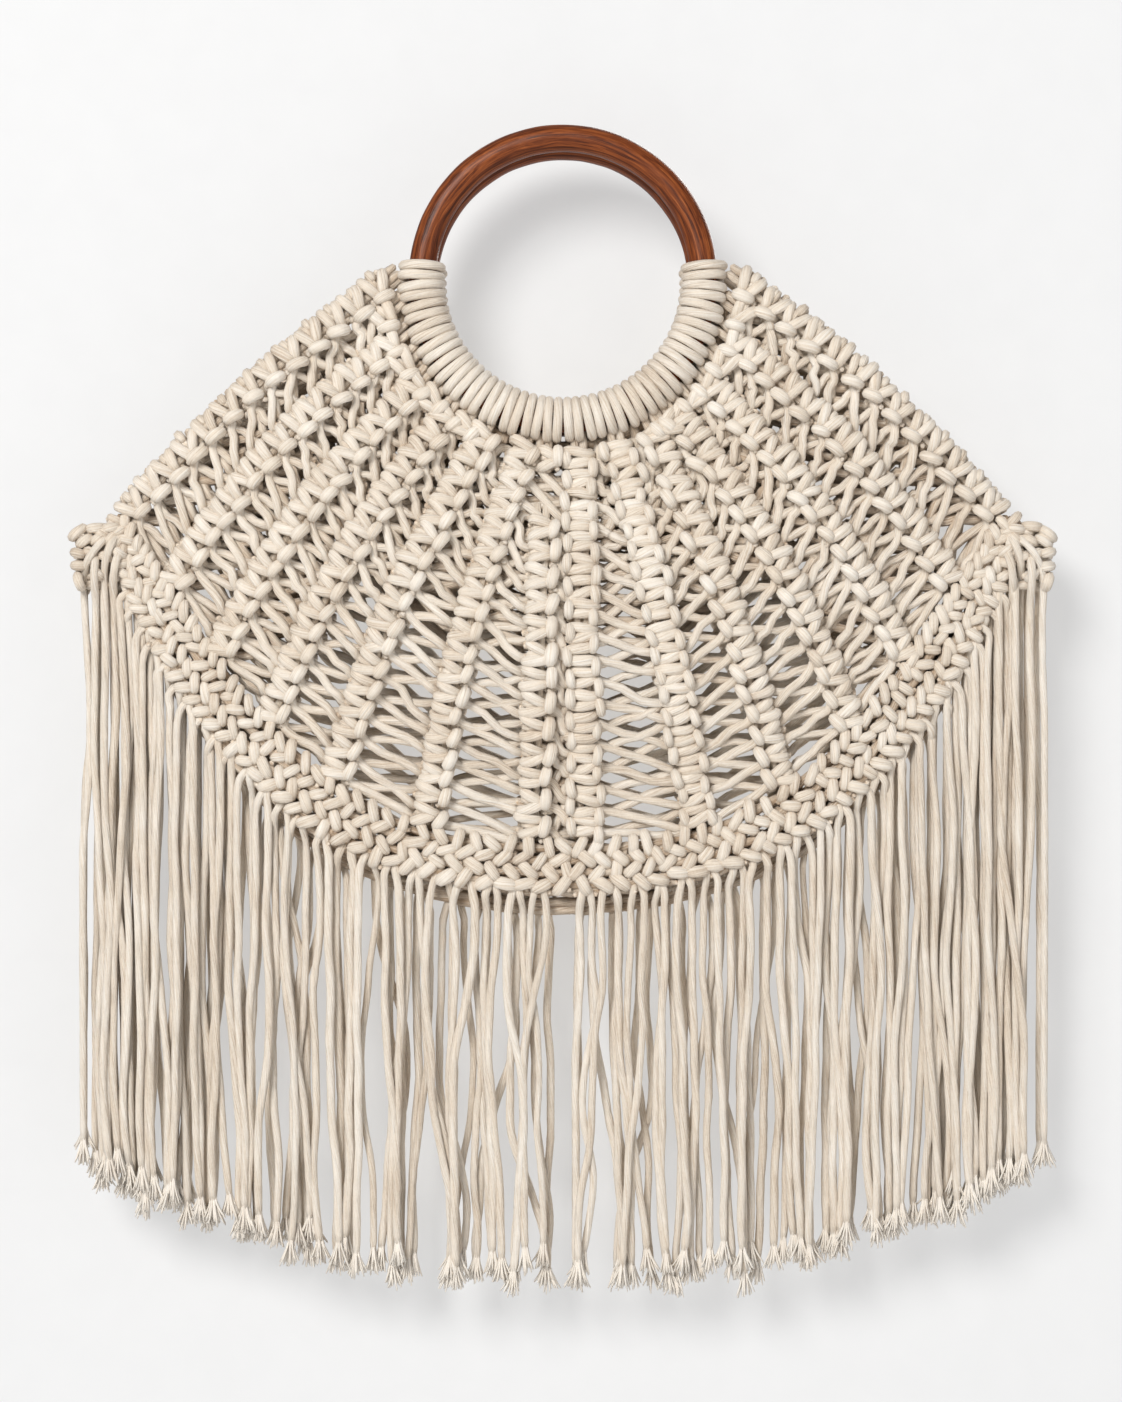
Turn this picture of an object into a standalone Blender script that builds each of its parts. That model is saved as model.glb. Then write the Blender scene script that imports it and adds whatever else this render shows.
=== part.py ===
"""Knotted cord handbag with two round wooden handles and a long fringe, hanging by its handles.

Metres, +Z up, +X to the right, the front towards -Y. The origin is where a peg would carry the bag:
under the top of both handles, midway between them. Angles are in degrees from straight down about
the centre of the handles, negative to the left.
"""

import math
from collections import namedtuple

import bmesh
import bpy
from mathutils import Vector

# Wooden handles
RING_OUTER_DIAMETER = 0.135
ROD_DIAMETER = 0.012
RING_SEGMENTS = 36
ROD_SIDES = 8

# Cord loops that cover the lower part of each handle
WRAP_THICKNESS = 0.0042
WRAP_HALF_ANGLE = 96.0
LOOP_PAIRS = 24
LOOP_GROOVE = 0.0013

# Knotted cloth
KNOT_THICKNESS = 0.0095
RIB_WIDTH = 0.0165
RIB_BOW = 0.0066
PIECE_GAP = 0.0003
CLOTH_GAP = 0.0011

# The body opens like a fan from the handles down to a rounded border
BODY_REACH = 0.269
BACK_DROP = 0.006
BULGE = 0.015
EDGE_BULGE = 0.007
SMALLEST_GAP = 0.005

# Corner knots, where the front and the back are tied together
CORNER_ANGLE = 57.2
CORNER_END_ANGLE = 62.6
CORNER_REACH = 0.0175
CORNER_ROUNDING = 0.7

# Fringe
FRINGE_REACH = 0.4455
FRINGE_RISE = 0.053
FRINGE_THICKNESS = 0.0064
FRINGE_HEAD = 0.009
LOCKS = 28
LOCK_SLIT = 0.0028
PARTING = 0.0075
LOCK_SWAY = 0.0020
LOCK_LENGTH_CHANGE = 0.004

RING_RADIUS = (RING_OUTER_DIAMETER - ROD_DIAMETER) / 2
RING_CENTRE_Z = -(RING_RADIUS - ROD_DIAMETER / 2)
WRAP_RADIUS = ROD_DIAMETER / 2 + WRAP_THICKNESS
RING_Y = WRAP_RADIUS + PIECE_GAP / 2
SEAM_Y = (KNOT_THICKNESS + PIECE_GAP) / 2
NET_START = RING_RADIUS + WRAP_RADIUS + CLOTH_GAP

# Outline of the body, as shares of its reach: where the net ends and where the border ends
OUTLINE = (
    # angle, net, border
    (0, 0.912, 1.000),
    (7, 0.917, 1.000),
    (14, 0.918, 0.999),
    (20, 0.908, 0.997),
    (26, 0.890, 0.984),
    (32, 0.868, 0.960),
    (38, 0.844, 0.937),
    (44, 0.823, 0.915),
    (50, 0.806, 0.888),
    (57.2, 0.805, 0.866),
    (63, 0.812, 0.862),
)
# The columns of square knots, from left to right. The last value is where a column begins, as a
# share of the way from the handle to the border.
RIBS = (
    # at_handle, at_border, bow, begins
    (-87.0, -60.4, -0.60, 0.0),
    (-66.7, -51.0, -1.00, 0.0),
    (-50.8, -41.5, -1.00, 0.0),
    (-36.9, -32.4, -0.95, 0.0),
    (-22.8, -23.4, -0.85, 0.0),
    (-8.5, -13.0, -0.60, 0.0),
    (-1.5, -1.9, 0.00, 0.33),
    (5.5, 2.3, 0.00, 0.0),
    (18.5, 14.0, 0.30, 0.0),
    (26.5, 22.3, 0.60, 0.27),
    (36.5, 31.7, 0.95, 0.0),
    (50.8, 40.9, 1.00, 0.0),
    (67.5, 50.7, 0.90, 0.0),
    (87.0, 60.4, 0.60, 0.0),
)
LAST_RIB = len(RIBS) - 1
# Rows of the net from the handle to the border, each as a share of that way where it ends. Rows of
# gaps take turns with rows where cords cross from rib to rib.
NET_ROWS = (
    # ends_at, holds_gaps
    (0.10, False),
    (0.19, False),
    (0.27, True),
    (0.34, False),
    (0.43, True),
    (0.50, False),
    (0.60, True),
    (0.67, False),
    (0.77, True),
    (0.84, False),
    (0.93, True),
    (1.00, False),
)
# Share of the full thickness across a rib, on the plait of the border and across a corner
RIB_MIDDLE, RIB_SIDE, WEB = 1.0, 0.62, 0.55
BORDER_ROWS = (
    # share_of_width, fullness
    (0.0, 0.78),
    (0.3, 1.0),
    (0.7, 1.0),
    (1.0, 0.72),
)
BORDER_STEPS = 36
CORNER_STEPS = 4
CORNER_ROWS = (0.0, 0.35, 0.7, 1.0)
# The fringe below its head, as shares of the way to the tips
FRINGE_ROWS = (0.3, 0.66, 1.0)

COTTON = ((0.76, 0.68, 0.57), 0.88)
WOOD = ((0.27, 0.08, 0.03), 0.38)

Side = namedtuple("Side", "name sign drop")
FRONT = Side("front", -1, 0.0)
BACK = Side("back", 1, BACK_DROP)


def finish(obj, look):
    """Puts the piece in a collection of its own name and gives it its own material."""
    colour, roughness = look
    obj.data.name = obj.name
    for old in list(obj.users_collection):
        old.objects.unlink(obj)
    group = bpy.data.collections.new(obj.name)
    bpy.context.scene.collection.children.link(group)
    group.objects.link(obj)
    material = bpy.data.materials.new(obj.name + "_finish")
    material.use_nodes = True
    shader = material.node_tree.nodes["Principled BSDF"]
    shader.inputs["Base Color"].default_value = (*colour, 1.0)
    shader.inputs["Roughness"].default_value = roughness
    shader.inputs["Metallic"].default_value = 0.0
    obj.data.materials.clear()
    obj.data.materials.append(material)
    return obj


def at(angle, radius, y=0.0):
    """The point at an angle and distance from the centre of the handles."""
    turn = math.radians(angle)
    return Vector((radius * math.sin(turn), y, RING_CENTRE_Z - radius * math.cos(turn)))


def smoothstep(t):
    return t * t * (3 - 2 * t)


def outline(side, angle, column):
    """Distance to the net's end (column 1) or the border's end (column 2) at an angle."""
    size = min(abs(angle), OUTLINE[-1][0])
    for low, high in zip(OUTLINE, OUTLINE[1:]):
        if size <= high[0]:
            break
    part = (size - low[0]) / (high[0] - low[0])
    share = low[column] + (high[column] - low[column]) * part
    drop = side.drop * max(math.cos(math.radians(1.5 * angle)), 0.0) ** 2
    return BODY_REACH * share + drop


def corner_radius(side, angle):
    """Distance to the outer end of a corner knot, which is rounded off at its top."""
    part = (angle - CORNER_ANGLE) / (CORNER_END_ANGLE - CORNER_ANGLE)
    return outline(side, angle, 2) + CORNER_REACH * (1 - CORNER_ROUNDING * part**3)


def new_ring(name, y, thickness):
    """A round ring that stands upright, facing the front."""
    bpy.ops.mesh.primitive_torus_add(
        major_radius=RING_RADIUS,
        minor_radius=thickness / 2,
        major_segments=RING_SEGMENTS,
        minor_segments=ROD_SIDES,
        location=(0, y, RING_CENTRE_Z),
        rotation=(math.radians(90), 0, 0),
    )
    ring = bpy.context.object
    bpy.ops.object.transform_apply(location=True, rotation=True)
    ring.name = name
    return ring


def new_wrap(side):
    """Cord loops, in pairs, wound round the handle."""
    y = side.sign * RING_Y
    curve = bpy.data.curves.new(side.name + "_wrap", "CURVE")
    curve.dimensions = "3D"
    curve.bevel_depth = WRAP_RADIUS
    curve.bevel_resolution = 2
    curve.use_fill_caps = True
    line = curve.splines.new("POLY")
    line.points.add(2 * LOOP_PAIRS)
    for k, point in enumerate(line.points):
        spot = at(WRAP_HALF_ANGLE * (k / LOOP_PAIRS - 1), RING_RADIUS, y)
        point.co = (*spot, 1.0)
        point.radius = 1.0 if k % 2 else 1 - LOOP_GROOVE / WRAP_RADIUS
    loops = bpy.data.objects.new(side.name + "_wrap", curve)
    bpy.context.scene.collection.objects.link(loops)
    bpy.ops.object.select_all(action="DESELECT")
    loops.select_set(True)
    bpy.context.view_layer.objects.active = loops
    bpy.ops.object.convert(target="MESH")
    loops = bpy.context.object
    bpy.ops.object.mode_set(mode="EDIT")
    bpy.ops.mesh.select_all(action="SELECT")
    bpy.ops.mesh.remove_doubles(threshold=PIECE_GAP / 10)
    bpy.ops.mesh.normals_make_consistent(inside=False)
    bpy.ops.object.mode_set(mode="OBJECT")
    bore = new_ring(side.name + "_bore", y, ROD_DIAMETER + 2 * PIECE_GAP)
    bore.hide_render = True
    bore.hide_viewport = True
    cut = loops.modifiers.new("bore", "BOOLEAN")
    cut.operation = "DIFFERENCE"
    cut.solver = "EXACT"
    cut.object = bore
    return finish(loops, COTTON)


def new_patch(name, columns, rows, place, fullness, is_gap, thickness):
    """A piece of cloth on a grid. place(i, j) puts each point, fullness(i, j) is its share of the
    thickness, and is_gap(i, j) tells the faces that are left out."""
    grid = bmesh.new()
    bmesh.ops.create_grid(grid, x_segments=columns, y_segments=rows, size=0.5)
    spots = [
        (round((vert.co.x + 0.5) * columns), round((vert.co.y + 0.5) * rows))
        for vert in grid.verts
    ]
    gaps = [
        face
        for face in grid.faces
        if is_gap(*(min(spots[vert.index][axis] for vert in face.verts) for axis in (0, 1)))
    ]
    shares = []
    for vert in grid.verts:
        spot = spots[vert.index]
        vert.co = place(*spot)
        shares.append(fullness(*spot))
    bmesh.ops.delete(grid, geom=gaps, context="FACES_ONLY")
    mesh = bpy.data.meshes.new(name)
    grid.to_mesh(mesh)
    grid.free()
    cloth = bpy.data.objects.new(name, mesh)
    bpy.context.scene.collection.objects.link(cloth)
    group = cloth.vertex_groups.new(name="fullness")
    for index, share in enumerate(shares):
        group.add([index], share, "REPLACE")
    walls = cloth.modifiers.new("walls", "SOLIDIFY")
    walls.thickness = thickness
    walls.offset = 0.0
    walls.vertex_group = group.name
    return finish(cloth, COTTON)


def rib_point(side, k, t):
    """The middle of rib k at share t of the way from the handle to the border."""
    at_handle, at_border, bow, _ = RIBS[k]
    start = at(at_handle, NET_START)
    end = at(at_border, outline(side, at_border, 1))
    across = Vector((end.z - start.z, 0, start.x - end.x)).normalized()
    return start.lerp(end, t) - across * (RIB_BOW * bow * math.sin(math.pi * t))


def on_net(side, s, t):
    """A point on the middle of the cloth, where s counts the ribs and t runs down them."""
    k = min(max(math.floor(s), 0), LAST_RIB - 1)
    point = rib_point(side, k, t).lerp(rib_point(side, k + 1, t), s - k)
    across = 2 * s / LAST_RIB - 1
    bulge = EDGE_BULGE + (BULGE - EDGE_BULGE) * max(1 - across * across, 0.0)
    swell = bulge * math.sin(math.pi * t) ** 2
    point.y = side.sign * (RING_Y + (SEAM_Y - RING_Y) * smoothstep(t) + swell)
    return point


def rib_side(side, k, direction, t):
    """The place s of one edge of rib k. Where ribs crowd, their edges share the room."""
    neighbour = min(max(k + min(direction, 0), 0), LAST_RIB - 1)
    room = (rib_point(side, neighbour + 1, t) - rib_point(side, neighbour, t)).length
    return k + direction * min(RIB_WIDTH / 2 / room, 0.46)


def new_net(side):
    """The knotted panel: each rib takes three lines of the grid, its middle and its two edges."""
    levels = [0.0] + [ends_at for ends_at, _ in NET_ROWS]

    def place(i, j):
        k, t = i // 3, levels[j]
        return on_net(side, rib_side(side, k, i % 3 - 1, t) if i % 3 != 1 else k, t)

    def fullness(i, j):
        if levels[j] < RIBS[i // 3][3]:
            return WEB
        return RIB_MIDDLE if i % 3 == 1 else RIB_SIDE

    def is_gap(i, j):
        if i % 3 != 2 or not NET_ROWS[j][1]:
            return False
        widths = [(place(i + 1, row) - place(i, row)).length for row in (j, j + 1)]
        return min(widths) > SMALLEST_GAP

    lines = 3 * len(RIBS) - 1
    return new_patch(
        side.name + "_net", lines, len(NET_ROWS), place, fullness, is_gap, KNOT_THICKNESS
    )


def new_border(side):
    """The plaited band between the net and the fringe."""

    def place(i, j):
        angle = CORNER_ANGLE * (2 * i / BORDER_STEPS - 1)
        inner = outline(side, angle, 1) + CLOTH_GAP
        outer = outline(side, angle, 2)
        radius = inner + (outer - inner) * BORDER_ROWS[j][0]
        return at(angle, radius, side.sign * SEAM_Y)

    return new_patch(
        side.name + "_border",
        BORDER_STEPS,
        len(BORDER_ROWS) - 1,
        place,
        lambda i, j: BORDER_ROWS[j][1] - (0.12 if i % 2 else 0.0),
        lambda i, j: False,
        KNOT_THICKNESS,
    )


def new_corner(name, sign):
    """The lump of knots that ties the end of the front border to the end of the back border."""
    first = CORNER_ANGLE + math.degrees(PIECE_GAP / BODY_REACH) * 1.5

    def place(i, j):
        angle = first + (CORNER_END_ANGLE - first) * i / CORNER_STEPS
        inner = outline(FRONT, angle, 1) + CLOTH_GAP
        radius = inner + (corner_radius(FRONT, angle) - inner) * CORNER_ROWS[j]
        return at(sign * angle, radius)

    def fullness(i, j):
        at_rim = i in (0, CORNER_STEPS) or j in (0, len(CORNER_ROWS) - 1)
        return 0.7 if at_rim else 1.0

    return new_patch(
        name,
        CORNER_STEPS,
        len(CORNER_ROWS) - 1,
        place,
        fullness,
        lambda i, j: False,
        2 * SEAM_Y + KNOT_THICKNESS,
    )


def fringe_top(side, x):
    """The level where a fringe cord leaves the border, or the corner knot at the sides."""
    size = abs(x)
    low, high = 0.0, CORNER_ANGLE
    edge = at(high, outline(side, high, 2))
    if size > edge.x:
        tip = at(high, corner_radius(side, high))
        return edge.z + (tip.z - edge.z) * (size - edge.x) / (tip.x - edge.x)
    for _ in range(30):
        middle = (low + high) / 2
        if at(middle, outline(side, middle, 2)).x < size:
            low = middle
        else:
            high = middle
    return at(low, outline(side, low, 2)).z


def new_fringe(side):
    """Hanging cords, in locks that are fused to a head under the border."""
    half_width = at(CORNER_ANGLE, corner_radius(side, CORNER_ANGLE)).x
    half_locks = LOCKS // 2
    pitch = (half_width - PARTING / 2 + LOCK_SLIT) / half_locks
    edges = []
    for k in range(half_locks):
        start = PARTING / 2 + k * pitch
        edges += [start, start + pitch - LOCK_SLIT]
    edges = [-x for x in reversed(edges)] + edges

    def place(i, j):
        x = edges[i]
        top = fringe_top(side, x) - CLOTH_GAP
        if j == 0:
            return Vector((x, side.sign * (FRINGE_THICKNESS + PIECE_GAP) / 2, top))
        start = top - FRINGE_HEAD
        lock = i // 2
        tip = RING_CENTRE_Z - FRINGE_REACH + FRINGE_RISE * abs(x / half_width) ** 2.2
        tip += LOCK_LENGTH_CHANGE * math.sin(2.7 * lock + side.sign)
        share = 0.0 if j == 1 else FRINGE_ROWS[j - 2]
        sway = LOCK_SWAY * math.sin(1.9 * lock + 2.2 * share + side.sign) * share * 0.5
        y = side.sign * (FRINGE_THICKNESS + PIECE_GAP) / 2
        return Vector((x + sway, y, start + (tip - start) * share))

    return new_patch(
        side.name + "_fringe",
        len(edges) - 1,
        len(FRINGE_ROWS) + 1,
        place,
        lambda i, j: 1.0,
        lambda i, j: i % 2 == 1 and j > 0,
        FRINGE_THICKNESS,
    )


for old in list(bpy.data.objects):
    bpy.data.objects.remove(old)

for side in (FRONT, BACK):
    finish(new_ring(side.name + "_ring", side.sign * RING_Y, ROD_DIAMETER), WOOD)
    new_wrap(side)
    new_net(side)
    new_border(side)
    new_fringe(side)
new_corner("left_corner", -1)
new_corner("right_corner", 1)
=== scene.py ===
# %% [markdown]
# # A knotted cord bag with round wooden handles
#
# The bag is square knots in thick cotton cord, closed by a plaited band and finished with a long
# fringe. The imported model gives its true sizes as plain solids. This lesson dresses those solids:
# each cord of the real bag becomes a tube that is swept along its own path, and the tubes of one
# piece become one mesh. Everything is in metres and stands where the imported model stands.

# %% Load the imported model
import math
from collections import namedtuple

import bpy
import numpy as np
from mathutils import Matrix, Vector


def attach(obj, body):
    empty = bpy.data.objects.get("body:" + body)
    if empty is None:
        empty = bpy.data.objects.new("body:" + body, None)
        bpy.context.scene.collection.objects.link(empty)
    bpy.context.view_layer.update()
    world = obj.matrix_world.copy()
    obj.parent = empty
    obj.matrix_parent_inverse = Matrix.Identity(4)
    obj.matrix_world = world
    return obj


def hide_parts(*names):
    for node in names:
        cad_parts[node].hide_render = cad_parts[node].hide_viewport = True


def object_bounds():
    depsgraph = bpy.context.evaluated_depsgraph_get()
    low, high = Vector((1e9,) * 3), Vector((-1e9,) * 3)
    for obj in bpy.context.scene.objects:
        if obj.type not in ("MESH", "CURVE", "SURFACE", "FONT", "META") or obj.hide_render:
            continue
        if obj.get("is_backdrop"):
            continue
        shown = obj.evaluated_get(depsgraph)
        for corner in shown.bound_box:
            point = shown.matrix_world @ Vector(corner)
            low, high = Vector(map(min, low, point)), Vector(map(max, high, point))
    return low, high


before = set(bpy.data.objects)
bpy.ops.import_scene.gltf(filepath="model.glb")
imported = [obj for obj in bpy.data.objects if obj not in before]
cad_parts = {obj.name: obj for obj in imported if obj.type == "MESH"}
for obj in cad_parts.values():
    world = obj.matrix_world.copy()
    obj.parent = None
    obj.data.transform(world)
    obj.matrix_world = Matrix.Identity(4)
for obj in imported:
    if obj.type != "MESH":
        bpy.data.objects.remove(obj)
cad_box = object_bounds()
MM = 0.001
print("nodes:", ", ".join(sorted(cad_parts)))

# %% [markdown]
# ## The sizes of the bag
#
# The cords have to lie where the solids lie, so the lesson starts from the same measures: the
# handles, the fan of knot columns that hangs from them, the rounded outline and the fringe. Angles
# are counted from straight down about the centre of the handles, negative to the left. The front
# lies towards -Y and the back towards +Y.

# %% Measures
RING_RADIUS, ROD_RADIUS, WRAP_RADIUS = 0.0615, 0.006, 0.0102
RING_CENTRE_Z = -0.0555
RING_Y, SEAM_Y = 0.01035, 0.0049
NET_START = 0.0728
BODY_REACH, FRINGE_REACH, FRINGE_RISE = 0.269, 0.4455, 0.053
CORNER_ANGLE, CORNER_REACH = 57.2, 0.0175
RIB_BOW, BULGE, EDGE_BULGE = 0.0066, 0.015, 0.007
# angle, end of the net, end of the band, as shares of the reach
OUTLINE = np.array(
    (
        (0, 0.912, 1.000),
        (7, 0.917, 1.000),
        (14, 0.918, 0.999),
        (20, 0.908, 0.997),
        (26, 0.890, 0.984),
        (32, 0.868, 0.960),
        (38, 0.844, 0.937),
        (44, 0.823, 0.915),
        (50, 0.806, 0.888),
        (57.2, 0.805, 0.866),
        (63, 0.812, 0.862),
    )
)
# Columns of knots from left to right: angle at the handle, angle at the band, bow, share of the way
# where it begins, length of one knot in mm, and the side that carries the raised loops
COLUMNS = (
    (-87.0, -60.4, -0.60, 0.00, 11.8, 1),
    (-66.7, -51.0, -1.00, 0.00, 10.4, 1),
    (-50.8, -41.5, -1.00, 0.00, 10.3, 1),
    (-36.9, -32.4, -0.95, 0.00, 10.2, 1),
    (-22.8, -23.4, -0.85, 0.00, 10.0, 1),
    (-8.5, -13.0, -0.60, 0.00, 9.3, 1),
    (-1.5, -1.9, 0.00, 0.33, 10.6, 1),
    (5.5, 2.3, 0.00, 0.00, 9.5, 0),
    (18.5, 14.0, 0.30, 0.00, 9.2, 0),
    (26.5, 22.3, 0.60, 0.27, 9.8, -1),
    (36.5, 31.7, 0.95, 0.00, 10.0, -1),
    (50.8, 40.9, 1.00, 0.00, 10.2, -1),
    (67.5, 50.7, 0.90, 0.00, 10.4, -1),
    (87.0, 60.4, 0.60, 0.00, 11.8, -1),
)
LAST = len(COLUMNS) - 1
Side = namedtuple("Side", "name sign drop seed sides")
FRONT, BACK = Side("front", -1, 0.0, 11, 8), Side("back", 1, 0.0085, 23, 6)


def at(angle, radius, y=0.0):
    """A point at an angle and distance from the centre of the handles."""
    turn = np.radians(angle)
    return np.stack(
        np.broadcast_arrays(radius * np.sin(turn), y, RING_CENTRE_Z - radius * np.cos(turn)), -1
    )


def outline(side, angle, column):
    """How far the net (column 1) or the band (column 2) reaches at an angle."""
    share = np.interp(np.abs(angle), OUTLINE[:, 0], OUTLINE[:, column])
    drop = side.drop * np.maximum(np.cos(np.radians(1.5 * np.asarray(angle))), 0) ** 2
    return BODY_REACH * share + drop


def column_line(side, k, t):
    """The middle of column k at share t of the way from the handle to the band."""
    at_handle, at_band, bow = COLUMNS[k][:3]
    start, end = at(at_handle, NET_START), at(at_band, outline(side, at_band, 1))
    across = np.array((end[2] - start[2], 0, start[0] - end[0]))
    across /= np.linalg.norm(across)
    t = np.asarray(t, float)[..., None]
    return start + (end - start) * t - across * RIB_BOW * bow * np.sin(math.pi * t)


def cloth(side, s, t):
    """A point of the knotted cloth, where s counts the columns and t runs down them."""
    k = min(max(math.floor(s), 0), LAST - 1)
    point = column_line(side, k, t) * (k + 1 - s) + column_line(side, k + 1, t) * (s - k)
    across = 2 * s / LAST - 1
    bulge = EDGE_BULGE + (BULGE - EDGE_BULGE) * max(1 - across * across, 0)
    t = np.clip(t, 0, 1)
    swell = bulge * np.sin(math.pi * t) ** 2
    ease = t * t * (3 - 2 * t)
    point[..., 1] = side.sign * (RING_Y + (SEAM_Y - RING_Y) * ease + swell)
    return point


print("longest column:", round(float(np.linalg.norm(cloth(FRONT, 5, 1) - cloth(FRONT, 5, 0))), 3))

# %% [markdown]
# ## A cord
#
# Blender can bevel a curve into a tube, one object at a time. The bag has thousands of short
# stretches of cord, so this lesson sweeps them in bulk instead: rings of points follow each path
# without twisting, quads join the rings, and a point closes each end. Every cord also gets a UV
# map, once round for u and centimetres along for v, and a tone of its own, so that one material
# can draw its fibres. The tone is partly random, which keeps neighbours apart, and partly painted
# shading: cords that lie deep in the cloth get a darker tone and raised loops a lighter one. A
# spline through a few marks makes a smooth path.

# %% Smooth paths


def unit(v):
    return v / np.maximum(np.linalg.norm(v, axis=-1, keepdims=True), 1e-12)


def through(marks, steps):
    """Smooth paths with this many points through a few marks each. Marks are (cords, marks, 3)."""
    marks = np.asarray(marks, float)
    many = marks.shape[-2]
    weights = np.zeros((steps, many))
    for row, place in enumerate(np.linspace(0, many - 1, steps)):
        k = min(int(place), many - 2)
        f = place - k
        shares = (
            -f + 2 * f**2 - f**3,
            2 - 5 * f**2 + 3 * f**3,
            f + 4 * f**2 - 3 * f**3,
            f**3 - f**2,
        )
        for share, mark in zip(shares, range(k - 1, k + 3)):
            weights[row, min(max(mark, 0), many - 1)] += share / 2
    return np.einsum("sm,...md->...sd", weights, marks)


print("marks to points:", through(((0, 0, 0), (1, 0, 0), (2, 1, 0)), 9).shape)

# %% [markdown]
# A hank gathers all cords of one piece. Thousands of objects would be slow to handle, so the points
# and faces of all its cords are kept in lists and become a single mesh at the end.

# %% Sweep cords along their paths


class Hank:
    """The cords of one piece, gathered until they become one mesh."""

    def __init__(self, seed):
        self.chance = np.random.default_rng(seed)
        self.points, self.quads, self.tips = [], [], []
        self.quad_uv, self.tip_uv, self.tones_and_painted_shading = [], [], []
        self.count = 0

    def lay(self, paths, radius, sides=7, tone=0.0, closed=False, blunt=0.5):
        """Lays one cord along each path. Paths are (cords, points, 3), in metres."""
        paths = np.asarray(paths, float)
        n, p, _ = paths.shape
        radius = np.broadcast_to(np.asarray(radius, float), (n, p)).copy()
        if closed:
            along = unit(np.roll(paths, -1, 1) - np.roll(paths, 1, 1))
        else:
            along = unit(np.gradient(paths, axis=1))
            radius[:, [0, -1]] *= 0.8
        axes = np.eye(3)[np.argmin(np.abs(along[:, 0]), axis=1)]
        normal = np.empty_like(paths)
        step = unit(np.cross(along[:, 0], axes))
        for i in range(p):
            step = unit(step - along[:, i] * np.sum(step * along[:, i], -1, keepdims=True))
            normal[:, i] = step
        side = np.cross(along, normal)
        turn = 2 * math.pi * np.arange(sides) / sides
        cos, sin = np.cos(turn)[:, None], np.sin(turn)[:, None]
        spread = normal[:, :, None] * cos + side[:, :, None] * sin
        rings = paths[:, :, None] + spread * radius[:, :, None, None]
        ends = np.stack(
            (
                paths[:, 0] - along[:, 0] * radius[:, :1] * blunt,
                paths[:, -1] + along[:, -1] * radius[:, -1:] * blunt,
            ),
            1,
        )
        length = np.cumsum(np.linalg.norm(np.diff(paths, axis=1, prepend=paths[:, :1]), axis=-1), 1)
        v = length * 100 + self.chance.uniform(0, 90, (n, 1))
        if closed:
            ends = ends[:, :0]
            v = np.concatenate((v, v[:, -1:] + v[:, 1:2] - v[:, :1]), 1)
        each = p * sides + ends.shape[1]
        base = self.count + np.arange(n)[:, None, None] * each
        i, j = np.meshgrid(np.arange(p if closed else p - 1), np.arange(sides), indexing="ij")
        here, there = i * sides, (i + 1) % p * sides
        turn_on = (j + 1) % sides
        faces = np.stack((here + j, here + turn_on, there + turn_on, there + j), -1)
        self.quads.append((base[..., None] + faces).reshape(-1, 4))
        u = np.stack((j, j + 1, j + 1, j), -1) / sides
        quad_v = np.stack((v[:, i], v[:, i], v[:, i + 1], v[:, i + 1]), -1)
        u = np.broadcast_to(u, quad_v.shape)
        self.quad_uv.append(np.stack((u, quad_v), -1).reshape(-1, 2))
        if not closed:
            j = np.arange(sides)
            turn_on = (j + 1) % sides
            last = (p - 1) * sides
            caps = np.stack(
                (
                    np.stack((0 * j + p * sides, turn_on, j), -1),
                    np.stack((0 * j + p * sides + 1, last + j, last + turn_on), -1),
                )
            )
            self.tips.append((base[..., None] + caps).reshape(-1, 3))
            cap_u = np.stack((j + 0.5, j + 0.5, j + 0.5), -1) / sides
            cap_u = np.broadcast_to(cap_u, (n, 2, sides, 3))
            cap_v = np.broadcast_to(v[:, [0, -1], None, None], cap_u.shape)
            self.tip_uv.append(np.stack((cap_u, cap_v), -1).reshape(-1, 2))
        points = np.concatenate((rings.reshape(n, -1, 3), ends), 1)
        # Each cord's tone is the piece's value plus a random part. The piece's value is painted
        # shading: low for cords that lie deep, high for raised ones.
        tones_and_painted_shading = np.broadcast_to(np.asarray(tone, float), (n,)) + self.chance.normal(0, 0.35, n)
        self.tones_and_painted_shading.append(np.repeat(tones_and_painted_shading, each))
        self.points.append(points.reshape(-1, 3))
        self.count += n * each

    def piece(self, name, material):
        """Turns the cords into one object."""
        faces = np.concatenate(self.quads).tolist()
        uv = self.quad_uv
        if self.tips:
            faces += np.concatenate(self.tips).tolist()
            uv = uv + self.tip_uv
        mesh = bpy.data.meshes.new(name)
        mesh.from_pydata(np.concatenate(self.points).tolist(), [], faces)
        mesh.uv_layers.new(name="cord").data.foreach_set("uv", np.concatenate(uv).ravel())
        tone = mesh.attributes.new("tone", "FLOAT", "POINT")
        tone.data.foreach_set("value", np.concatenate(self.tones_and_painted_shading))
        mesh.polygons.foreach_set("use_smooth", np.ones(len(faces), bool))
        mesh.materials.append(material)
        piece = bpy.data.objects.new(name, mesh)
        bpy.context.scene.collection.objects.link(piece)
        triangles = sum(len(q) * 2 for q in self.quads) + sum(len(t) for t in self.tips)
        print(f"{name}: {triangles} triangles")
        return piece


# %% [markdown]
# ## Finishes
#
# A finish is a small graph of nodes. Written by hand, each node takes three lines, so a short
# class does it: `node` makes one, and arithmetic signs between its outputs make Math nodes.

# %% A way to write finishes


class Tap:
    """An output of a node, which can stand in a sum."""

    def __init__(self, finish, socket):
        self.finish, self.socket = finish, socket

    def sum(self, how, *others):
        return self.finish.sum(how, self, *others)

    def __add__(self, other):
        return self.sum("ADD", other)

    def __mul__(self, other):
        return self.sum("MULTIPLY", other)

    def __sub__(self, other):
        return self.sum("SUBTRACT", other)

    def __rsub__(self, other):
        return self.finish.sum("SUBTRACT", other, self)

    __radd__, __rmul__ = __add__, __mul__


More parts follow.
